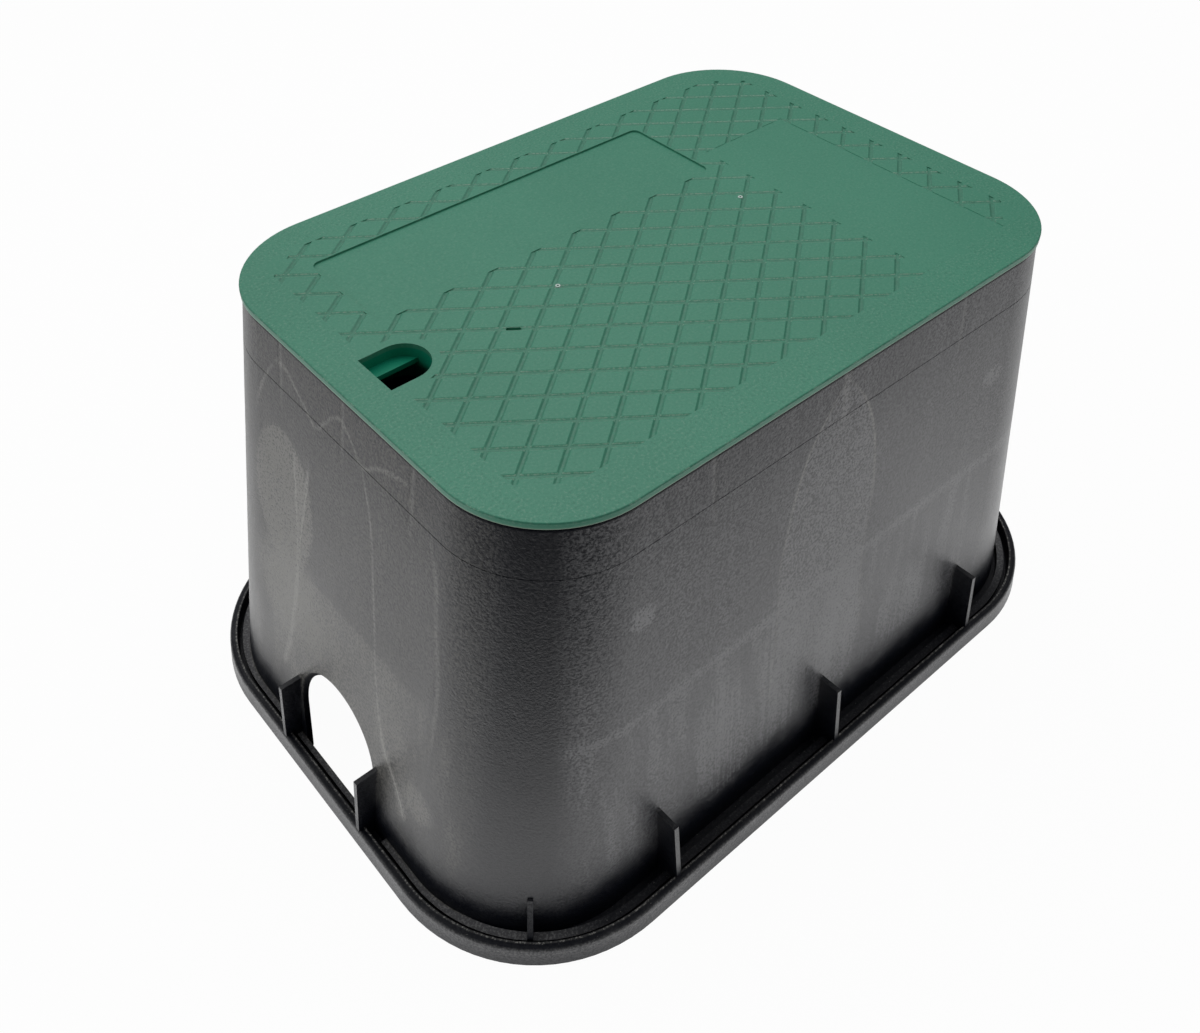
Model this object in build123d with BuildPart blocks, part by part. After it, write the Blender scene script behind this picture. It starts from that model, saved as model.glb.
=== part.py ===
from build123d import *
import os
from math import atan, ceil, cos, degrees, hypot, radians, sin, tan

# Irrigation valve box: a tapered open-bottomed body with a foot flange, and a drop-on lid.
# Millimetres, +Z up. The origin is at the middle of the footprint, on the ground.
# +X runs along the long side, away from the lid's lift slot.

# Body wall
body_height = 306.5
top_length = 432.4
top_width = 302.8
top_corner = 63.0
foot_length = 536.0
foot_width = 363.0
foot_corner = 89.0
wall = 4.5
top_edge_bevel = 1.5

# Foot flange: an outer rim, and a ledge that runs round inside it with a channel on either side
flange_reach_x = 12.0
flange_reach_y = 20.8
flange_corner_growth = 19.0
rim_height = 15.0
rim_wall = 5.0
rim_lean = 2.0
rim_round = 2.4
channel_width = 3.0
channel_floor = 4.0
ledge_width = 5.0
ledge_height = 10.0
ledge_gap = 12.5

# Upright ribs between the wall and the rim, set back from the flange's edge
rib_thickness = 3.4
rib_top = 62.5
long_rib_pitch = 146.0
long_rib_set_back = 5.3
long_rib_lean = 6.2
hole_rib_gap = 0.9
hole_rib_set_back = 2.5
hole_rib_lean = 5.0
corner_rib_top = 38.0
corner_rib_angle = 48.0
corner_rib_set_back = 8.6
corner_rib_lean = 11.4

# Pipe openings in the two short walls: an arch whose sides draw in towards the foot,
# with faces that fall as they pass inward through the wall
pipe_hole_width = 84.0
pipe_hole_top = 92.5
pipe_hole_side_lean = 9.0
pipe_hole_fall = 1.6

# Gussets inside the top edge, which help to carry the lid
gusset_thickness = 3.0
gusset_depth = 5.0
gusset_height = 50.5
gusset_pitch_long = 102.0
gusset_pitch_short = 63.0

# Fine line round the wall where two halves of the mould met
seam_drop = 30.7
seam_height = 0.5
seam_depth = 0.2

# Lid plate
lid_overhang = 1.2
lid_thickness = 4.5
lid_top_round = 0.9
lid_foot_bevel = 0.5

# Lid underside: a skirt that drops inside the gussets, and a grid of ribs
skirt_clearance = 1.2
skirt_wall = 3.0
skirt_depth = 16.0
grid_rib = 3.0
grid_depth = 20.0
grid_pitch_x = 55.0
grid_pitch_y = 50.0

# Lift slot: D-shaped, flat towards -X, with a catch shelf across its +Y side
slot_flat_x = -196.4
slot_radius = 15.7
slot_straight = 16.9
slot_wall = 3.0
slot_depth = 17.5
shelf_drop = 8.5
shelf_thickness = 3.0
shelf_edge_y = 7.1

# Tread pattern: sloped grooves in two crossing directions
pattern_x = 2.0
pattern_y = 1.5
diamond_length = 31.4
diamond_width = 23.7
groove_width = 3.6
groove_floor = 1.2
groove_depth = 0.6
field_length = 387.0
field_width = 255.0
field_corner_cut = 10.8
slot_margin = 5.0
panel_margin = 1.0

# Sunk name panel, left bare
panel_left = -169.6
panel_right = 84.4
panel_low = 37.2
panel_high = 108.4
panel_corner = 5.0
panel_depth = 1.2

# Text band, left bare
band_left = 98.8
band_right = 172.0
band_low = -126.0
band_high = 54.5
band_depth = 0.25

# Two gate marks of the mould, and one sink hole in a groove counted from the pattern's middle
gate_spacing = 148.6
gate_radius = 1.5
gate_pin = 0.6
gate_rise = 0.4
sink_x = -117.6
sink_groove = 4.5
sink_length = 8.5
sink_width = 2.4
sink_depth = 2.9

flange_length = foot_length + 2 * flange_reach_x
flange_width = foot_width + 2 * flange_reach_y
flange_corner = foot_corner + flange_corner_growth
lid_length = top_length + 2 * lid_overhang
lid_width = top_width + 2 * lid_overhang
lid_corner = top_corner + lid_overhang
lid_low = body_height
lid_high = body_height + lid_thickness
hole_rib_y = pipe_hole_width / 2 + hole_rib_gap + rib_thickness / 2
cut_over = 1.0


def wall_size(z, inset=0.0):
    """Length, width and corner radius of the wall's outline at a height, set in by a distance."""
    t = z / body_height
    length = foot_length + (top_length - foot_length) * t - 2 * inset
    width = foot_width + (top_width - foot_width) * t - 2 * inset
    corner = foot_corner + (top_corner - foot_corner) * t - inset
    return length, width, corner


def flange_size(inset):
    """Length, width and corner radius of the flange's outline, set in by a distance."""
    return flange_length - 2 * inset, flange_width - 2 * inset, flange_corner - inset


def upright_plane(x, y, angle):
    """A vertical plane through (x, y): its own X points outward at the angle, its own Y is up."""
    outward = Vector(cos(radians(angle)), sin(radians(angle)), 0)
    return Plane(origin=(x, y, 0), x_dir=outward, z_dir=outward.cross(Vector(0, 0, 1)))


def wall_form(*sections):
    """Tapered solid through the wall's outline at each height, set in there by a distance."""
    with BuildPart() as form:
        for z, inset in sections:
            length, width, corner = wall_size(z, inset)
            with BuildSketch(Plane.XY.offset(z)):
                RectangleRounded(length, width, corner)
        loft(ruled=True)
    return form.part


def rib_places():
    """Start, outward angle, outer edge at the foot and at the top, and height of every rib."""
    half_length = flange_length / 2
    half_width = flange_width / 2
    x_corner = half_length - flange_corner
    y_corner = half_width - flange_corner
    places = []
    for x in (-long_rib_pitch, 0.0, long_rib_pitch):
        for angle in (-90.0, 90.0):
            foot = half_width - long_rib_set_back
            places.append((x, 0.0, angle, foot, foot - long_rib_lean, rib_top))
    for y in (-hole_rib_y, hole_rib_y):
        for angle in (0.0, 180.0):
            foot = half_length - hole_rib_set_back
            places.append((0.0, y, angle, foot, foot - hole_rib_lean, rib_top))
    for side in (-1, 1):
        angle = corner_rib_angle - 90.0 + side * 90.0
        foot = flange_corner - corner_rib_set_back
        places.append((side * x_corner, side * y_corner, angle, foot, foot - corner_rib_lean, corner_rib_top))
    return places


def rib_outline(foot, crown, top):
    """Section of one rib, from the middle of the body out to the rim; the wall's inside cuts it later."""
    low = channel_floor / 2
    Polygon((0, low), (foot, low), (foot, rim_height), (crown, top), (0, top), align=None)


def gusset_places():
    """Start, outward angle and measured side (0 length, 1 width) of the gussets, three to each wall."""
    places = []
    for x in (-gusset_pitch_long, 0.0, gusset_pitch_long):
        places += [(x, 0.0, -90.0, 1), (x, 0.0, 90.0, 1)]
    for y in (-gusset_pitch_short, 0.0, gusset_pitch_short):
        places += [(0.0, y, 180.0, 0), (0.0, y, 0.0, 0)]
    return places


def gusset_outline(side):
    """Section of one gusset: a wedge whose outer edge lies in the middle of the wall."""
    low = body_height - gusset_height
    high_face = wall_size(body_height, wall / 2)[side] / 2
    low_face = wall_size(low, wall / 2)[side] / 2
    inner = high_face - wall / 2 - gusset_depth
    Polygon((low_face, low), (high_face, body_height), (inner, body_height), align=None)


def pipe_hole_outline():
    """Arch of a pipe opening: a circle on two sides that draw in towards the foot."""
    radius = pipe_hole_width / 2
    centre = pipe_hole_top - radius
    lean = radians(pipe_hole_side_lean)
    side_x = radius * cos(lean)
    side_y = centre - radius * sin(lean)
    foot_x = side_x - (side_y + cut_over) * tan(lean)
    with Locations((0, centre)):
        Circle(radius)
    Polygon((-foot_x, -cut_over), (foot_x, -cut_over), (side_x, side_y), (-side_x, side_y), align=None)


# Pipe openings, each from the wall's outer face inward
with BuildPart() as pipe_hole_cut:
    for side in (-1, 1):
        up_wall = Vector(-side * (foot_length - top_length) / 2, 0, body_height).normalized()
        outward = Vector(0, side, 0).cross(up_wall)
        with BuildSketch(Plane(origin=(side * foot_length / 2, 0, 0), x_dir=(0, side, 0), z_dir=outward)):
            pipe_hole_outline()
        extrude(amount=3 * wall, dir=(-side, 0, -pipe_hole_fall))

# Body: flange, ribs and wall, moulded in one piece
with BuildPart() as body:
    with BuildSketch():
        RectangleRounded(*flange_size(0.0))
    extrude(amount=rim_height, taper=degrees(atan(rim_lean / rim_height)))
    fillet(body.edges().group_by(Axis.Z)[-1], radius=rim_round)
    rim_inset = rim_lean + rim_wall
    ledge_inset = rim_inset + channel_width
    with BuildSketch(Plane.XY.offset(channel_floor)):
        RectangleRounded(*flange_size(rim_inset))
    extrude(amount=rim_height, mode=Mode.SUBTRACT)
    with BuildSketch(Plane.XY.offset(channel_floor)):
        RectangleRounded(*flange_size(ledge_inset))
        RectangleRounded(*flange_size(ledge_inset + ledge_width), mode=Mode.SUBTRACT)
        with GridLocations(0, 2 * hole_rib_y + rib_thickness + ledge_gap, 1, 2):
            Rectangle(flange_length, ledge_gap, mode=Mode.SUBTRACT)
    extrude(amount=ledge_height - channel_floor)
    for x, y, angle, foot, crown, top in rib_places():
        with BuildSketch(upright_plane(x, y, angle)):
            rib_outline(foot, crown, top)
    extrude(amount=rib_thickness / 2, both=True)
    add(wall_form((0.0, 0.0), (body_height - top_edge_bevel, 0.0), (body_height, top_edge_bevel)))
    add(pipe_hole_cut.part, mode=Mode.SUBTRACT)
    add(wall_form((-cut_over, wall), (body_height + cut_over, wall)), mode=Mode.SUBTRACT)
    for x, y, angle, side in gusset_places():
        with BuildSketch(upright_plane(x, y, angle)):
            gusset_outline(side)
    extrude(amount=gusset_thickness / 2, both=True)
    seam_z = body_height - seam_drop
    with BuildSketch(Plane.XY.offset(seam_z)):
        RectangleRounded(*wall_size(seam_z, -cut_over))
        RectangleRounded(*wall_size(seam_z, seam_depth), mode=Mode.SUBTRACT)
    extrude(amount=seam_height, mode=Mode.SUBTRACT)


def skirt_size(inset):
    """Length, width and corner radius of the lid skirt's outline, set in by a distance."""
    inset += wall + gusset_depth + skirt_clearance
    return top_length - 2 * inset, top_width - 2 * inset, top_corner - inset


def slot_outline(margin):
    """D shape of the lift slot, grown by a margin."""
    x_round = slot_flat_x + slot_straight
    with Locations((x_round - (slot_straight + margin) / 2, 0)):
        Rectangle(slot_straight + margin, 2 * (slot_radius + margin))
    with Locations((x_round, 0)):
        Circle(slot_radius + margin)


def panel_outline(margin):
    """Rounded rectangle of the sunk name panel, grown by a margin."""
    with Locations(((panel_left + panel_right) / 2, (panel_low + panel_high) / 2)):
        RectangleRounded(
            panel_right - panel_left + 2 * margin, panel_high - panel_low + 2 * margin, panel_corner + margin
        )


def band_outline(margin):
    """Rectangle of the text band, grown by a margin."""
    with Locations(((band_left + band_right) / 2, (band_low + band_high) / 2)):
        Rectangle(band_right - band_left + 2 * margin, band_high - band_low + 2 * margin)


def field_outline():
    """Patterned area: a rectangle with corners cut along the grooves, less the slot, panel and band."""
    x_far = field_length / 2
    y_far = field_width / 2
    x_cut = (field_corner_cut - y_far / diamond_width) * diamond_length
    y_cut = (field_corner_cut - x_far / diamond_length) * diamond_width
    corners = []
    for sx, sy in ((1, 1), (-1, 1), (-1, -1), (1, -1)):
        end_point = (pattern_x + sx * x_far, pattern_y + sy * y_cut)
        side_point = (pattern_x + sx * x_cut, pattern_y + sy * y_far)
        corners += [end_point, side_point] if sx == sy else [side_point, end_point]
    Polygon(*corners, align=None)


def groove_plane(step, side):
    """Plane across one groove: its own Y is up and its normal runs along the groove."""
    along = Vector(diamond_length, side * diamond_width, 0).normalized()
    across = Vector(0, 0, 1).cross(along)
    return Plane(origin=(pattern_x, pattern_y + step * diamond_width, lid_high), x_dir=across, z_dir=along)


# Tread grooves, cut to the patterned area
with BuildPart() as grooves:
    slope = (groove_width - groove_floor) / 2 / groove_depth
    mouth = groove_width / 2 + slope * cut_over
    steps = ceil(field_corner_cut)
    for number in range(-steps, steps):
        for side in (-1, 1):
            with BuildSketch(groove_plane(number + 0.5, side)):
                Polygon(
                    (-mouth, cut_over),
                    (mouth, cut_over),
                    (groove_floor / 2, -groove_depth),
                    (-groove_floor / 2, -groove_depth),
                    align=None,
                )
    extrude(amount=hypot(field_length, field_width), both=True)
    with BuildSketch(Plane.XY.offset(lid_low)):
        field_outline()
        with BuildSketch(mode=Mode.SUBTRACT):
            slot_outline(slot_margin)
        with BuildSketch(mode=Mode.SUBTRACT):
            panel_outline(panel_margin)
        with BuildSketch(mode=Mode.SUBTRACT):
            band_outline(0.0)
    extrude(amount=lid_thickness + cut_over, mode=Mode.INTERSECT)

# Lid: plate, skirt, grid of ribs and lift slot, moulded in one piece
with BuildPart() as lid:
    with BuildSketch(Plane.XY.offset(lid_low)):
        RectangleRounded(lid_length, lid_width, lid_corner)
    extrude(amount=lid_thickness)
    fillet(lid.edges().group_by(Axis.Z)[-1], radius=lid_top_round)
    chamfer(lid.edges().group_by(Axis.Z)[0], length=lid_foot_bevel)
    with BuildSketch(Plane.XY.offset(lid_low)):
        RectangleRounded(*skirt_size(0.0))
        RectangleRounded(*skirt_size(skirt_wall), mode=Mode.SUBTRACT)
    extrude(amount=-skirt_depth)
    with BuildSketch(Plane.XY.offset(lid_low)):
        skirt_length, skirt_width, skirt_corner = skirt_size(0.0)
        count_x = 2 * int((skirt_length / 2 - grid_pitch_x / 2) / grid_pitch_x) + 1
        count_y = 2 * int((skirt_width / 2 - grid_pitch_y / 2) / grid_pitch_y) + 1
        with GridLocations(grid_pitch_x, 0, count_x, 1):
            Rectangle(grid_rib, skirt_width)
        with GridLocations(0, grid_pitch_y, 1, count_y):
            Rectangle(skirt_length, grid_rib)
        RectangleRounded(*skirt_size(skirt_wall / 2), mode=Mode.INTERSECT)
    extrude(amount=-grid_depth)
    with BuildSketch(Plane.XY.offset(lid_low)):
        slot_outline(slot_wall)
    extrude(amount=-slot_depth)
    with BuildSketch(Plane.XY.offset(lid_high + cut_over)):
        slot_outline(0.0)
    extrude(amount=-(lid_thickness + grid_depth + 2 * cut_over), mode=Mode.SUBTRACT)
    with BuildSketch(Plane.XY.offset(lid_high - shelf_drop)):
        slot_outline(slot_wall / 2)
        with Locations((slot_flat_x, shelf_edge_y)):
            Rectangle(lid_length, lid_width, align=(Align.CENTER, Align.MAX), mode=Mode.SUBTRACT)
    extrude(amount=-shelf_thickness)
    add(grooves.part, mode=Mode.SUBTRACT)
    with BuildSketch(Plane.XY.offset(lid_high)):
        panel_outline(0.0)
    extrude(amount=-panel_depth, mode=Mode.SUBTRACT)
    with BuildSketch(Plane.XY.offset(lid_high)):
        band_outline(0.0)
    extrude(amount=-band_depth, mode=Mode.SUBTRACT)
    with BuildSketch(Plane.XY.offset((lid_low + lid_high) / 2)):
        with GridLocations(gate_spacing, 0, 2, 1):
            Circle(gate_radius)
    extrude(amount=lid_thickness / 2 + gate_rise)
    with BuildSketch(Plane.XY.offset(lid_high + gate_rise)):
        with GridLocations(gate_spacing, 0, 2, 1):
            Circle(gate_pin)
    extrude(amount=-(gate_rise + gate_pin), mode=Mode.SUBTRACT)
    sink_y = pattern_y - diamond_width * (sink_groove + (sink_x - pattern_x) / diamond_length)
    with BuildSketch(Plane.XY.offset(lid_high)):
        with Locations(Location((sink_x, sink_y), -degrees(atan(diamond_width / diamond_length)))):
            SlotOverall(sink_length, sink_width)
    extrude(amount=-sink_depth, mode=Mode.SUBTRACT)

os.makedirs("parts", exist_ok=True)
body.part.label = "body"
export_step(body.part, "parts/body.step")
lid.part.label = "lid"
export_step(lid.part, "parts/lid.step")
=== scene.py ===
import bpy
from mathutils import Matrix, Vector

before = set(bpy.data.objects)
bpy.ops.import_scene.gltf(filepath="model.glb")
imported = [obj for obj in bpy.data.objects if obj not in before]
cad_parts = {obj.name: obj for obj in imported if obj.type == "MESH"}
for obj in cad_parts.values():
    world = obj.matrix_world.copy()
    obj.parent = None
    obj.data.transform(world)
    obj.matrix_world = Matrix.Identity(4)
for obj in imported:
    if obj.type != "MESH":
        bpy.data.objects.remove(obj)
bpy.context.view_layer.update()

# Metres, in the model's own frame: +Z up, the lift slot towards -X, the sunk panel towards +Y.

# Camera: where it stood, how it was turned, and its picture
camera_place = Vector((-0.4146, -0.4141, 0.6884))
camera_turn = Vector((2.17966, -0.80452, 0.36915))
camera_lens = 34.704
camera_shift_x = 0.01512
camera_shift_y = -0.08495

# Sizes the materials follow, as in the model
body_height = 0.3065
foot_half = Vector((0.268, 0.1815, 0.089))
top_half = Vector((0.2162, 0.1514, 0.063))
flange_half = Vector((0.280, 0.2023, 0.108))
lid_half = Vector((0.2174, 0.1526, 0.0642))
rim_height = 0.015
ledge_height = 0.010
belt_height = 0.157
# Heights of the painted shadow band on the wall just under the lid
lid_shadow = (0.3045, 0.3036)
lid_high = 0.311
gusset_pitch_long = 0.102
gusset_pitch_short = 0.063
pattern_middle = Vector((0.0020, 0.0015))
diamond = Vector((0.0314, 0.0237))
field_half = Vector((0.1935, 0.1275))
band_middle = Vector((0.1354, -0.0357))
band_half = Vector((0.0366, 0.0903))
slot_middle_x = -0.180
slot_half = Vector((0.0195, 0.0190))
gate_half_spacing = 0.0743
room_strength = 0.55

# Colours, linear
white = (1.0, 1.0, 1.0, 1.0)
floor_white = (0.8, 0.8, 0.8, 1.0)
black = (0.0048, 0.0058, 0.0098, 1.0)
side_wall_grey = (0.172, 0.173, 0.180, 1.0)
end_wall_grey = (0.150, 0.147, 0.135, 1.0)
flow_mark_and_highlight = (0.34, 0.335, 0.315, 1.0)
green = (0.036, 0.222, 0.138, 1.0)
light_green = (0.042, 0.242, 0.152, 1.0)
green_speck = (0.160, 0.310, 0.230, 1.0)
green_dot = (0.018, 0.126, 0.078, 1.0)
groove_floor = (0.044, 0.146, 0.098, 1.0)
lit_groove_slope = (0.210, 0.350, 0.260, 1.0)
shaded_slope_green = (0.020, 0.095, 0.064, 1.0)
gate_mark = (0.62, 0.70, 0.67, 1.0)
lid_side_highlight = (0.130, 0.330, 0.230, 1.0)
lid_lower_edge_highlight = (0.46, 0.50, 0.41, 1.0)
slot_shade_green = (0.004, 0.230, 0.135, 1.0)
slot_deep_shade = (0.003, 0.036, 0.025, 1.0)

# Span of the curves that carry the flow marks
trace_span = 0.8

# Flow marks on the end walls: points of y and z, or z and y where the mark stands upright
arch_row = (
    (-0.062, 0.292), (-0.047, 0.289), (-0.033, 0.284), (-0.019, 0.276), (-0.012, 0.282), (-0.005, 0.289),
    (0.003, 0.292), (0.010, 0.288), (0.017, 0.280), (0.027, 0.272), (0.035, 0.277), (0.047, 0.285),
    (0.060, 0.292), (0.069, 0.290),
)
arch_left_tail = ((0.291, 0.067), (0.277, 0.078), (0.262, 0.086), (0.246, 0.091))
arch_right_tail = (
    (0.292, -0.060), (0.287, -0.067), (0.277, -0.077), (0.262, -0.084), (0.249, -0.088), (0.220, -0.091),
    (0.179, -0.096), (0.140, -0.095), (0.110, -0.093),
)
long_stream = (
    (0.276, -0.019), (0.265, -0.023), (0.249, -0.028), (0.225, -0.032), (0.202, -0.034), (0.172, -0.037),
    (0.145, -0.039), (0.125, -0.042), (0.109, -0.045), (0.085, -0.053), (0.072, -0.063), (0.055, -0.072),
    (0.042, -0.076),
)
wedge = ((0.250, 0.041), (0.205, 0.043), (0.165, 0.046))
left_stream_points = (
    (0.172, 0.045), (0.139, 0.048), (0.112, 0.052), (0.085, 0.057), (0.065, 0.063), (0.045, 0.065)
)

# Flow marks on the side walls: points of z and x
arch_left_branch = (
    (0.302, -0.004), (0.295, -0.008), (0.283, -0.017), (0.270, -0.027), (0.252, -0.035), (0.235, -0.040),
    (0.216, -0.044), (0.193, -0.048), (0.158, -0.048), (0.120, -0.049), (0.070, -0.053),
)
arch_right_branch = (
    (0.302, -0.004), (0.294, 0.004), (0.279, 0.015), (0.262, 0.023), (0.243, 0.028), (0.220, 0.031),
    (0.200, 0.032), (0.158, 0.029), (0.120, 0.031), (0.070, 0.037),
)


class Nodes:
    """The node tree of a material or world, with short calls that make a node and return its output."""

    def __init__(self, owner, output_kind):
        owner.use_nodes = True
        self.owner = owner
        self.tree = owner.node_tree
        self.tree.nodes.clear()
        self.output = self.node(output_kind)

    def node(self, kind, **settings):
        made = self.tree.nodes.new(kind)
        for name, value in settings.items():
            setattr(made, name, value)
        return made

    def link(self, value, socket):
        """Sets a socket to a number, vector or colour, or links an output to it."""
        if isinstance(value, bpy.types.NodeSocket):
            self.tree.links.new(value, socket)
        else:
            socket.default_value = value

    def math(self, operation, *values):
        made = self.node("ShaderNodeMath", operation=operation)
        for value, socket in zip(values, made.inputs):
            self.link(value, socket)
        return made.outputs[0]

    def add(self, *values):
        total = values[0]
        for value in values[1:]:
            total = self.math("ADD", total, value)
        return total

    def multiply(self, *values):
        total = values[0]
        for value in values[1:]:
            total = self.math("MULTIPLY", total, value)
        return total

    def subtract(self, value, taken):
        return self.math("SUBTRACT", value, taken)

    def past(self, value, reach):
        """How far a value lies past a reach, on either side of zero."""
        return self.subtract(self.math("ABSOLUTE", value), reach)

    def length(self, u, v):
        return self.math("SQRT", self.add(self.multiply(u, u), self.multiply(v, v)))

    def step(self, value, low, high, out_low=0.0, out_high=1.0):
        """Smooth step of a value from low to high, which may run backwards."""
        made = self.node("ShaderNodeMapRange", interpolation_type="SMOOTHSTEP")
        settings = {"From Min": low, "From Max": high, "To Min": out_low, "To Max": out_high}
        for name, setting in settings.items():
            self.link(setting, made.inputs[name])
        self.link(value, made.inputs["Value"])
        return made.outputs[0]

    def bump_at(self, value, centre, reach):
        """A smooth hill: 1 where the value is at its centre, 0 a reach away from it."""
        return self.step(self.math("ABSOLUTE", self.subtract(value, centre)), reach, 0.0)

    def noise(self, vector, scale, detail=2.0, roughness=0.5):
        made = self.node("ShaderNodeTexNoise")
        self.link(vector, made.inputs["Vector"])
        made.inputs["Scale"].default_value = scale
        made.inputs["Detail"].default_value = detail
        made.inputs["Roughness"].default_value = roughness
        return made.outputs[0]

    def trace(self, along, points):
        """Place across, as a smooth function of the place along, through a mark's points."""
        made = self.node("ShaderNodeFloatCurve")
        curve = made.mapping.curves[0]
        knots = [(u / trace_span + 0.5, v / trace_span + 0.5) for u, v in sorted(points)]
        curve.points[0].location = knots[0]
        curve.points[1].location = knots[-1]
        for knot in knots[1:-1]:
            curve.points.new(*knot)
        made.mapping.extend = "HORIZONTAL"
        made.mapping.update()
        self.link(self.add(self.multiply(along, 1.0 / trace_span), 0.5), made.inputs["Value"])
        return self.multiply(self.subtract(made.outputs[0], 0.5), trace_span)

    def line(self, along, across, points, width, fade=0.02):
        """A mark: 1 on the line through its points, 0 a width beside it, fading at its ends."""
        ends = sorted(u for u, v in points)
        beside = self.subtract(across, self.trace(along, points))
        here = self.step(along, ends[0] - fade / 4, ends[0] + fade)
        until = self.step(along, ends[-1] + fade / 4, ends[-1] - fade)
        return self.multiply(self.bump_at(beside, 0.0, width), here, until)

    def lobe(self, across, up, centre, reach, soft):
        """A blot: 1 inside an ellipse about its centre, 0 past its soft edge."""
        u = self.multiply(self.subtract(across, centre[0]), 1.0 / reach[0])
        v = self.multiply(self.subtract(up, centre[1]), 1.0 / reach[1])
        return self.step(self.length(u, v), 1.0 + soft, 1.0 - soft)

    def vector(self, x, y, z):
        made = self.node("ShaderNodeCombineXYZ")
        for value, socket in zip((x, y, z), made.inputs):
            self.link(value, socket)
        return made.outputs[0]

    def mix(self, factor, colour_a, colour_b):
        """Blend of two colours; the mix node's colour sockets are the seventh and eighth."""
        made = self.node("ShaderNodeMix", data_type="RGBA")
        self.link(factor, made.inputs["Factor"])
        self.link(colour_a, made.inputs[6])
        self.link(colour_b, made.inputs[7])
        return made.outputs[2]

    def place(self):
        """Object coordinates, as one vector and as x, y and z."""
        vector = self.node("ShaderNodeTexCoord").outputs["Object"]
        split = self.node("ShaderNodeSeparateXYZ")
        self.link(vector, split.inputs[0])
        return vector, *split.outputs

    def outline_distance(self, x, y, half_x, half_y, corner):
        """Signed distance from (x, y) to a rounded rectangle, positive outside it."""
        past_x = self.past(x, self.subtract(half_x, corner))
        past_y = self.past(y, self.subtract(half_y, corner))
        outside = self.length(self.math("MAXIMUM", past_x, 0.0), self.math("MAXIMUM", past_y, 0.0))
        inside = self.math("MINIMUM", self.math("MAXIMUM", past_x, past_y), 0.0)
        return self.subtract(self.add(outside, inside), corner)

    def gusset_marks(self, across, pitch):
        """Narrow sunk lines outside the three gussets of a wall."""
        marks = 0.0
        for side in (-1, 0, 1):
            marks = self.add(marks, self.bump_at(across, side * pitch, 0.003))
        return self.multiply(marks, -1.0)

    def groove_distance(self, count, apart):
        """Distance to the nearest groove line: a line lies half way between whole counts."""
        return self.multiply(self.math("ABSOLUTE", self.subtract(self.math("FRACT", count), 0.5)), apart)

    def gate_distance(self, x, y):
        """Distance to the nearer of the lid's two gate marks."""
        return self.length(self.past(x, gate_half_spacing), y)

    def relief(self, height, distance, strength):
        made = self.node("ShaderNodeBump")
        made.inputs["Distance"].default_value = distance
        made.inputs["Strength"].default_value = strength
        self.link(height, made.inputs["Height"])
        return made.outputs[0]

    def emission(self, strength):
        made = self.node("ShaderNodeEmission")
        self.link(strength, made.inputs["Strength"])
        return made.outputs[0]

    def mix_shader(self, factor, shader_a, shader_b):
        made = self.node("ShaderNodeMixShader")
        for value, socket in zip((factor, shader_a, shader_b), made.inputs):
            self.link(value, socket)
        return made.outputs[0]

    def towards(self, way, direction):
        """Cosine of the angle between a way and a fixed direction."""
        made = self.node("ShaderNodeVectorMath", operation="DOT_PRODUCT")
        self.link(way, made.inputs[0])
        made.inputs[1].default_value = Vector(direction).normalized()
        return made.outputs["Value"]

    def plastic(self, colour, roughness, normal):
        made = self.node("ShaderNodeBsdfPrincipled")
        made.inputs["IOR"].default_value = 1.5
        self.link(colour, made.inputs["Base Color"])
        self.link(roughness, made.inputs["Roughness"])
        self.link(normal, made.inputs["Normal"])
        self.link(made.outputs[0], self.output.inputs["Surface"])
        return made


def material_nodes(name):
    return Nodes(bpy.data.materials.new(name), "ShaderNodeOutputMaterial")


def end_marks(s, y, z):
    """Pale marks of the flow on the end walls: a row of arches, two long streams and soft lobes."""
    arches = s.line(y, z, arch_row, 0.0027, 0.006)
    left_tail = s.line(z, y, arch_left_tail, 0.0026)
    right_tail = s.line(z, y, arch_right_tail, 0.0028, 0.05)
    stream = s.multiply(s.line(z, y, long_stream, 0.0017, 0.012), s.step(z, 0.06, 0.16, 1.0, 0.7))
    low_stream = s.multiply(s.line(z, y, long_stream, 0.0070, 0.012), s.step(z, 0.14, 0.07))
    wedge_reach = s.step(z, 0.165, 0.245, 0.0016, 0.0095)
    wedge_side = s.subtract(y, s.trace(z, wedge))
    wedge_edge = s.math("DIVIDE", s.math("ABSOLUTE", wedge_side), wedge_reach)
    wedge_fade = s.multiply(s.step(z, 0.160, 0.178), s.step(z, 0.250, 0.225))
    wedge_shape = s.add(s.step(wedge_edge, 1.0, 0.8, 0.0, 0.35), s.bump_at(wedge_edge, 0.80, 0.30))
    wedge_mask = s.multiply(wedge_shape, wedge_fade)
    left_stream = s.line(z, y, left_stream_points, 0.0040, 0.02)
    lobe = s.lobe(y, z, (0.062, 0.198), (0.030, 0.046), 0.16)
    lower = s.lobe(y, z, (0.055, 0.128), (0.034, 0.030), 0.5)
    spot = s.lobe(y, z, (-0.087, 0.074), (0.013, 0.013), 0.35)
    below_belt = s.step(z, belt_height + 0.002, belt_height - 0.002)
    belt = s.multiply(below_belt, s.step(s.math("ABSOLUTE", y), 0.085, 0.070))
    inside = s.step(s.subtract(y, s.trace(z, arch_right_tail)), -0.003, 0.003)
    crisp = s.add(
        s.multiply(arches, 0.34),
        s.multiply(left_tail, 0.36),
        s.multiply(right_tail, 0.24),
        s.multiply(stream, 0.52),
        s.multiply(low_stream, 0.45),
        s.multiply(wedge_mask, 0.48),
        s.multiply(left_stream, 0.45),
    )
    soft = s.add(
        s.multiply(lobe, 1.70),
        s.multiply(lower, 0.85),
        s.multiply(spot, 0.55),
        s.multiply(belt, 0.24),
        s.multiply(inside, 0.06),
    )
    return crisp, soft


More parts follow.
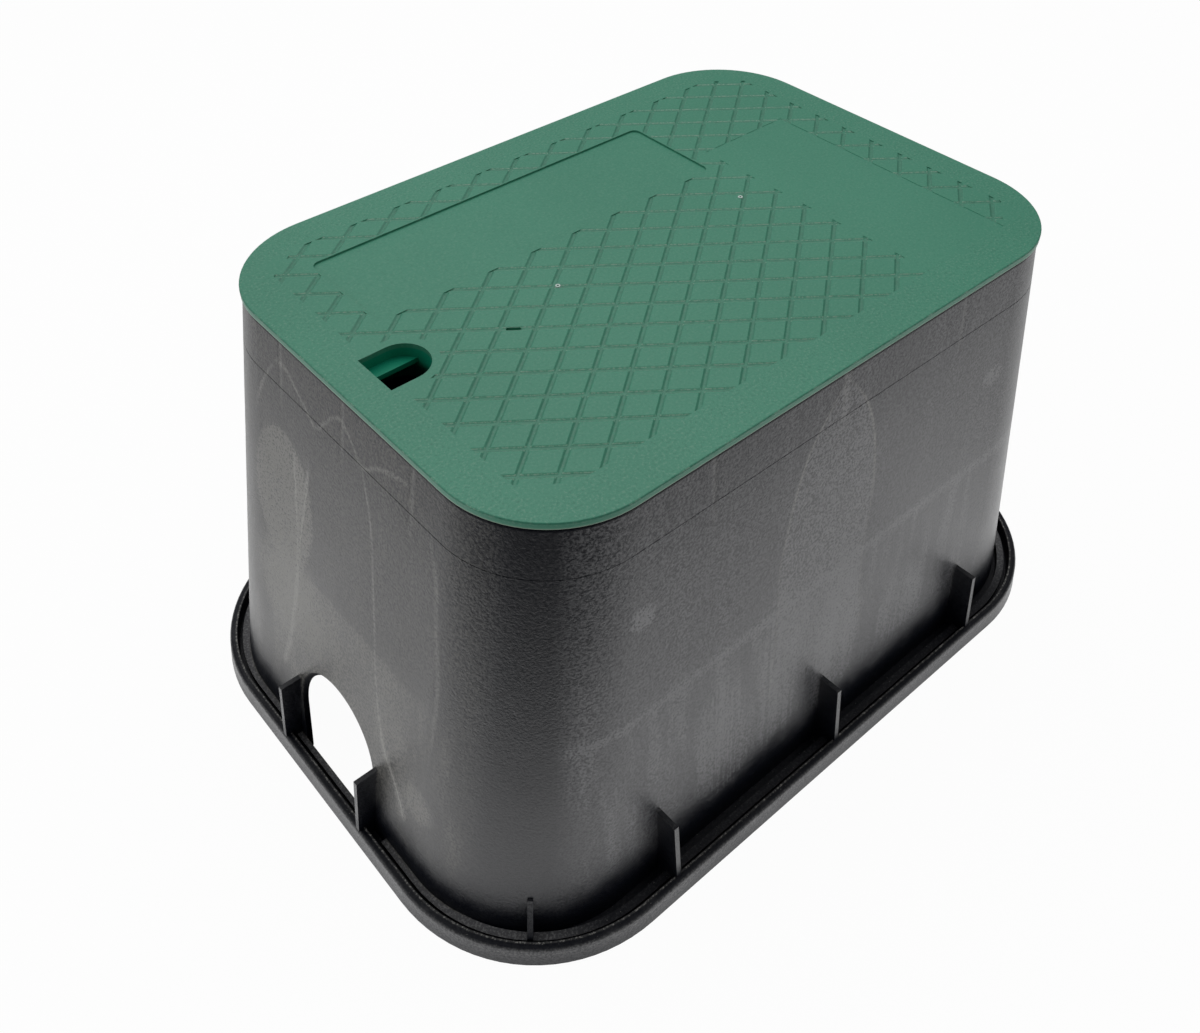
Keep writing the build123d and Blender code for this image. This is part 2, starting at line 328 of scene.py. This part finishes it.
def side_marks(s, x, z):
    """Pale marks of the flow on the side walls: one tall arch, a fan of streaks and small smudges."""
    fading = s.step(z, 0.17, 0.26, 0.30, 1.0)
    left_branch = s.line(z, x, arch_left_branch, 0.0018, 0.03)
    right_branch = s.line(z, x, arch_right_branch, 0.0018, 0.03)
    tip = s.multiply(s.bump_at(x, -0.004, 0.003), s.step(z, 0.255, 0.300))
    left_of = s.subtract(x, s.trace(z, arch_left_branch))
    right_of = s.subtract(x, s.trace(z, arch_right_branch))
    within = s.multiply(s.step(left_of, 0.0, 0.002), s.step(right_of, 0.0, -0.002), s.step(z, 0.06, 0.10))
    dash = s.multiply(s.bump_at(z, 0.240, 0.002), s.lobe(x, z, (-0.016, 0.240), (0.015, 0.01), 0.3))
    fan = s.add(
        s.lobe(x, z, (-0.092, 0.080), (0.020, 0.050), 0.45),
        s.lobe(x, z, (-0.044, 0.090), (0.015, 0.070), 0.5),
        s.lobe(x, z, (0.010, 0.085), (0.018, 0.060), 0.6),
        s.lobe(x, z, (0.078, 0.075), (0.020, 0.028), 0.5),
    )
    strands = s.noise(s.vector(s.multiply(x, 400.0), 0.0, s.multiply(z, 6.0)), 1.0, 3.0)
    fan = s.multiply(fan, s.step(strands, 0.40, 0.62, 0.25, 1.4))
    smudges = s.add(
        s.lobe(x, z, (-0.152, 0.230), (0.007, 0.007), 0.5), s.lobe(x, z, (0.146, 0.228), (0.008, 0.006), 0.5)
    )
    belt = s.bump_at(z, belt_height, 0.007)
    crisp = s.add(
        s.multiply(left_branch, fading, 0.60),
        s.multiply(right_branch, fading, 0.60),
        s.multiply(tip, 0.25),
        s.multiply(dash, 0.10),
    )
    soft = s.add(
        s.multiply(fan, 0.65), s.multiply(smudges, 1.1), s.multiply(belt, 0.35), s.multiply(within, 0.30)
    )
    return crisp, soft


def black_plastic():
    """Grained black plastic of the body, with pale flow marks on the wall and flecks on the flange, painted
    shade at the foot and under the lid, painted light on the ledge and rim.
    """
    s = material_nodes("black_plastic")
    place, x, y, z = s.place()
    facing = s.node("ShaderNodeSeparateXYZ")
    s.link(s.node("ShaderNodeTexCoord").outputs["Normal"], facing.inputs[0])
    rise = s.math("DIVIDE", z, body_height)
    half_x = s.add(foot_half.x, s.multiply(rise, top_half.x - foot_half.x))
    half_y = s.add(foot_half.y, s.multiply(rise, top_half.y - foot_half.y))
    corner = s.add(foot_half.z, s.multiply(rise, top_half.z - foot_half.z))
    from_wall = s.outline_distance(x, y, half_x, half_y, corner)
    from_flange = s.outline_distance(x, y, flange_half.x, flange_half.y, flange_half.z)
    on_wall = s.bump_at(from_wall, 0.0, 0.0015)
    end_wall = s.multiply(on_wall, s.step(s.past(x, half_x), -0.014, -0.004))
    side_wall = s.multiply(on_wall, s.step(s.past(y, half_y), -0.014, -0.004))
    flat_wall = s.math("MAXIMUM", end_wall, side_wall)

    streaks = s.noise(s.vector(s.multiply(x, 90.0), s.multiply(y, 90.0), s.multiply(z, 5.0)), 1.0, 4.0)
    cloud = s.noise(place, 11.0, 3.0)
    fine = s.noise(place, 620.0, 3.0, 0.65)
    low = s.step(z, belt_height + 0.008, belt_height - 0.007)
    streaky = s.multiply(s.step(streaks, 0.42, 0.72), s.add(0.08, s.multiply(low, 0.30)))
    hazy = s.math("MAXIMUM", side_wall, s.multiply(end_wall, 0.65))
    haze = s.multiply(hazy, s.add(0.19, streaky, s.multiply(s.step(cloud, 0.3, 0.7), 0.16)))
    end_crisp, end_soft = end_marks(s, y, z)
    side_crisp, side_soft = side_marks(s, x, z)
    crisp = s.add(s.multiply(end_wall, end_crisp), s.multiply(side_wall, side_crisp))
    soft = s.add(s.multiply(end_wall, end_soft), s.multiply(side_wall, side_soft))
    uneven = s.multiply(s.subtract(s.noise(place, 40.0, 3.0), 0.5), 0.05)
    # painted shade: the pale grey and the marks fade to black over the lowest 12 to 40 mm of the wall
    foot_shade = s.step(s.add(z, uneven, s.multiply(streaks, -0.03)), 0.012, 0.040)
    upper = s.step(z, 0.140, 0.190)
    mottle = s.add(1.0, s.multiply(s.step(fine, 0.36, 0.64, -1.0, 1.0), s.add(0.85, s.multiply(upper, 0.35))))
    # painted shadow under the lid: no pale grey on the top of the wall, just under the lid
    haze = s.multiply(s.add(haze, soft), foot_shade, mottle, s.step(z, *lid_shadow))
    marks = s.multiply(crisp, foot_shade, s.step(fine, 0.36, 0.60, 0.35, 1.2))

    sinks = s.add(
        s.multiply(side_wall, s.gusset_marks(x, gusset_pitch_long)),
        s.multiply(end_wall, s.gusset_marks(y, gusset_pitch_short)),
    )
    sinks = s.multiply(sinks, s.step(z, 0.252, 0.285))

    up = s.step(facing.outputs[2], 0.75, 0.95)
    below_rim_top = s.step(z, rim_height + 0.002, rim_height + 0.001)
    in_flange = s.multiply(up, below_rim_top)
    flecks = s.step(s.noise(place, 620.0, 3.0, 0.7), 0.50, 0.64)
    specks = s.step(s.noise(place, 820.0, 2.0, 0.5), 0.70, 0.76)
    # painted light: the ledge top is pale by the end walls and darker along the side walls
    ledge_light_at_ends = s.step(s.math("ABSOLUTE", x), 0.19, 0.24, 0.10, 1.0)
    on_ledge = s.multiply(in_flange, s.bump_at(z, ledge_height, 0.001), ledge_light_at_ends)
    on_rim = s.multiply(in_flange, s.step(z, rim_height - 0.0012, rim_height - 0.0002))
    # painted highlight along the inner edge of the rim's top, with dust flecks
    rim_edge_highlight = s.multiply(on_rim, s.bump_at(from_flange, -0.0064, 0.0010))
    rim_side = s.multiply(s.bump_at(from_flange, -0.001, 0.0025), below_rim_top)
    side_line = s.multiply(rim_side, s.bump_at(z, 0.0105, 0.0012))
    haze = s.add(
        haze,
        s.multiply(on_ledge, s.add(0.55, s.multiply(flecks, 0.8))),
        # rim's outer side: pale grain, with painted shade towards the ground
        s.multiply(rim_side, s.step(fine, 0.36, 0.64, 0.25, 0.95), s.step(z, 0.002, 0.012, 0.3, 1.0)),
    )
    marks = s.add(
        marks,
        s.multiply(rim_edge_highlight, s.add(0.14, s.multiply(flecks, 0.9))),
        s.multiply(side_line, s.add(0.05, s.multiply(flecks, 0.20))),
        s.multiply(on_ledge, flecks, 0.16),
        # painted highlight along the rounded top of the rim's outer side, with dust flecks
        s.multiply(rim_side, s.step(z, 0.0120, 0.0146), s.add(0.16, s.multiply(flecks, 0.22))),
        s.multiply(in_flange, specks, 0.5),
        s.multiply(flat_wall, specks, s.step(z, 0.050, 0.030), 0.30),
        # painted shade in the sunk lines, on top of their bump
        s.multiply(sinks, -0.16, s.step(fine, 0.36, 0.60, 0.4, 1.2)),
    )
    # pale grey of the body, end and side walls set apart; its amount carries the painted shade and painted
    # light above
    pale_grey = s.mix(end_wall, side_wall_grey, end_wall_grey)
    colour = s.mix(s.math("MINIMUM", haze, 1.0), black, pale_grey)
    # pale marks: flow marks and dust flecks, with the painted highlights on the rim
    colour = s.mix(s.math("MINIMUM", marks, 1.0), colour, flow_mark_and_highlight)

    ripple = s.noise(place, 330.0, 1.0)
    coarse = s.step(z, 0.150, 0.175, 0.7, 1.0)
    height = s.add(s.multiply(s.add(fine, s.multiply(ripple, 0.25)), coarse), s.multiply(sinks, 0.55))
    roughness = s.add(s.multiply(s.step(cloud, 0.3, 0.7), 0.05), s.step(fine, 0.36, 0.64, 0.29, 0.42))
    skin = s.plastic(colour, roughness, s.relief(height, 0.00042, 0.9))
    # painted shade: less gloss over the lowest 6 to 26 mm of the wall
    foot_shade_gloss = s.step(s.add(z, uneven, s.multiply(streaks, -0.02)), 0.006, 0.026, 0.35, 1.0)
    # painted shadow under the lid: less gloss on the top of the wall; the gloss also lessens towards the top
    # from 235 mm
    lid_shadow_gloss = s.step(z, *lid_shadow, 0.25, 1.0)
    grained = s.step(fine, 0.34, 0.66, 0.80, 1.20)
    sheen = s.multiply(s.step(z, 0.303, 0.235, 0.36, 0.50), foot_shade_gloss, lid_shadow_gloss, grained)
    s.link(sheen, skin.inputs["Specular IOR Level"])
    return s.owner


def green_plastic():
    """Satin green plastic of the lid: stippled border, smoother pads, greyer grooves, pale gate marks,
    painted light and shade on groove slopes, side and slot.
    """
    s = material_nodes("green_plastic")
    place, x, y, z = s.place()
    below_top = s.subtract(lid_high, z)
    u = s.multiply(s.subtract(x, pattern_middle.x), 1.0 / diamond.x)
    v = s.multiply(s.subtract(y, pattern_middle.y), 1.0 / diamond.y)
    apart = 1.0 / Vector((1.0 / diamond.x, 1.0 / diamond.y)).length
    near_groove = s.step(s.groove_distance(s.add(u, v), apart), 0.0021, 0.0019)
    band_x = s.add(x, -band_middle.x)
    band_y = s.add(y, -band_middle.y)
    beside_band = s.step(s.outline_distance(band_x, band_y, *band_half, 0.0), 0.0, 0.0005)
    floor = s.multiply(s.bump_at(below_top, 0.0006, 0.0003), beside_band)
    slope = s.multiply(s.bump_at(below_top, 0.0003, 0.00028), beside_band)
    beyond_x = s.past(s.subtract(x, pattern_middle.x), field_half.x)
    beyond_y = s.past(s.subtract(y, pattern_middle.y), field_half.y)
    border = s.step(s.math("MAXIMUM", beyond_x, beyond_y), -0.004, 0.004)
    top = s.step(below_top, 0.0020, 0.0016)

    cloud = s.noise(place, 7.0, 3.0)
    colour = s.mix(s.step(cloud, 0.3, 0.7), green, light_green)
    stipple = s.noise(place, 640.0, 3.0, 0.7)
    specks = s.multiply(s.step(stipple, 0.50, 0.68), s.add(0.26, s.multiply(border, 0.22)), top)
    colour = s.mix(specks, colour, green_speck)
    dots = s.multiply(s.step(stipple, 0.46, 0.34), s.add(0.28, s.multiply(border, 0.22)), top)
    colour = s.mix(dots, colour, green_dot)
    grey = s.multiply(floor, s.step(s.noise(place, 300.0, 2.0), 0.3, 0.7, 0.12, 0.50))
    colour = s.mix(grey, colour, groove_floor)
    # painted light and shade on the groove slopes: pale, speckled slopes on the grooves along u + v, darker
    # slopes on the other grooves
    lit_slope = s.multiply(slope, near_groove, s.step(stipple, 0.42, 0.58, 0.15, 0.85))
    colour = s.mix(lit_slope, colour, lit_groove_slope)
    shaded_slope = s.multiply(slope, s.subtract(1.0, near_groove))
    colour = s.mix(s.multiply(shaded_slope, 0.35), colour, shaded_slope_green)
    gate = s.multiply(s.bump_at(s.gate_distance(x, y), 0.0011, 0.0008), top)
    colour = s.mix(gate, colour, gate_mark)

    from_edge = s.outline_distance(x, y, lid_half.x, lid_half.y, lid_half.z)
    # painted highlight: a paler band on the lid's side face and a pale line at its lower edge
    side = s.step(from_edge, -0.0014, -0.0006)
    side_highlight = s.multiply(side, s.step(below_top, 0.0024, 0.0032))
    colour = s.mix(s.multiply(side_highlight, 0.45), colour, lid_side_highlight)
    lower_edge_highlight = s.multiply(side, s.bump_at(z, body_height + 0.0004, 0.0008))
    colour = s.mix(s.multiply(lower_edge_highlight, 0.7), colour, lid_lower_edge_highlight)
    # painted shade in the lift slot: a deeper green, near black deep down, and less gloss
    from_slot = s.outline_distance(s.add(x, -slot_middle_x), y, *slot_half, 0.0)
    in_slot = s.multiply(s.step(below_top, 0.0024, 0.0036), s.step(from_slot, 0.002, 0.0))
    colour = s.mix(in_slot, colour, slot_shade_green)
    deep_shade = s.multiply(in_slot, s.step(below_top, 0.0095, 0.016))
    colour = s.mix(deep_shade, colour, slot_deep_shade)

    grain = s.noise(place, 1100.0, 2.0, 0.6)
    height = s.add(s.multiply(grain, 0.6), s.multiply(stipple, s.add(0.3, s.multiply(border, 1.0))))
    skin = s.plastic(colour, 0.44, s.relief(height, 0.00018, 0.7))
    s.link(s.step(in_slot, 0.0, 1.0, 0.42, 0.20), skin.inputs["Specular IOR Level"])
    return s.owner


def give_material(thing, material):
    thing.data.materials.clear()
    thing.data.materials.append(material)


def floor_material():
    """White floor: the camera sees it near white with a soft shadow, and gloss sees it bright, with painted
    light beside the flange and painted shade far out towards -X -Y.
    """
    s = material_nodes("studio_floor")
    x, y = s.place()[1:3]
    diffuse = s.node("ShaderNodeBsdfDiffuse")
    diffuse.inputs["Color"].default_value = floor_white
    near_corner = s.add(s.multiply(x, -0.67), s.multiply(y, -0.74))
    from_flange = s.outline_distance(x, y, flange_half.x, flange_half.y, flange_half.z)
    # painted light and shade on the floor as gloss sees it: brighter beside the flange, dark far out towards
    # -X -Y, none under the flange
    near = s.step(from_flange, 0.02, 0.30, 1.40, 1.05)
    far_floor_shade = s.step(near_corner, 0.39, 0.56, 1.0, 0.14)
    outside = s.step(from_flange, -0.004, 0.0)
    gloss = s.emission(s.multiply(near, far_floor_shade, outside))
    path = s.node("ShaderNodeLightPath")
    seen = s.mix_shader(0.965, diffuse.outputs[0], s.emission(1.0))
    unseen = s.mix_shader(path.outputs["Is Glossy Ray"], diffuse.outputs[0], gloss)
    s.link(s.mix_shader(path.outputs["Is Camera Ray"], unseen, seen), s.output.inputs["Surface"])
    return s.owner


def make_floor():
    bpy.ops.mesh.primitive_circle_add(vertices=96, radius=4.0, fill_type="NGON", location=(0.0, 0.0, 0.0))
    floor = bpy.context.object
    floor.name = "studio_floor"
    give_material(floor, floor_material())


def make_world():
    """Pale light from all round, weaker towards -X -Y and towards +X, and plain white for the camera."""
    world = bpy.data.worlds.new("studio")
    bpy.context.scene.world = world
    s = Nodes(world, "ShaderNodeOutputWorld")
    way = s.node("ShaderNodeTexCoord").outputs["Generated"]
    above_slot_end = s.step(
        s.towards(way, (-0.55, -0.55, 0.63)), 0.55, 0.92, room_strength, 0.25 * room_strength
    )
    above_band_end = s.step(s.towards(way, (0.82, 0.3, 0.49)), 0.6, 0.97, 1.0, 0.4)
    strength = s.multiply(above_slot_end, above_band_end)
    room = s.node("ShaderNodeBackground")
    seen = s.node("ShaderNodeBackground")
    for background, light in ((room, strength), (seen, 1.0)):
        background.inputs["Color"].default_value = white
        s.link(light, background.inputs["Strength"])
    camera_ray = s.node("ShaderNodeLightPath").outputs["Is Camera Ray"]
    s.link(s.mix_shader(camera_ray, room.outputs[0], seen.outputs[0]), s.output.inputs["Surface"])


def make_lamp(name, place, target, size, power):
    data = bpy.data.lights.new(name, "AREA")
    data.shape = "SQUARE"
    data.size = size
    data.energy = power
    lamp = bpy.data.objects.new(name, data)
    lamp.location = place
    lamp.rotation_euler = (Vector(target) - Vector(place)).to_track_quat("-Z", "Y").to_euler()
    bpy.context.scene.collection.objects.link(lamp)


def make_camera():
    data = bpy.data.cameras.new("camera")
    data.sensor_width = 36.0
    data.lens = camera_lens
    data.shift_x = camera_shift_x
    data.shift_y = camera_shift_y
    camera = bpy.data.objects.new("camera", data)
    turn = Matrix.Rotation(camera_turn.length, 3, camera_turn)
    back_up_right = Matrix((turn[0], -turn[1], -turn[2])).transposed()
    camera.matrix_world = Matrix.Translation(camera_place) @ back_up_right.to_4x4()
    bpy.context.scene.collection.objects.link(camera)
    bpy.context.scene.camera = camera


make_camera()
make_world()
make_lamp("overhead", (0.5, 0.6, 1.8), (0.0, 0.0, 0.2), 1.6, 14.0)
make_lamp("left_window", (-1.6, 0.6, 1.2), (0.0, 0.0, 0.2), 1.2, 5.0)
make_floor()
give_material(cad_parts["body"], black_plastic())
give_material(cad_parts["lid"], green_plastic())
bpy.context.scene.view_settings.view_transform = "Standard"
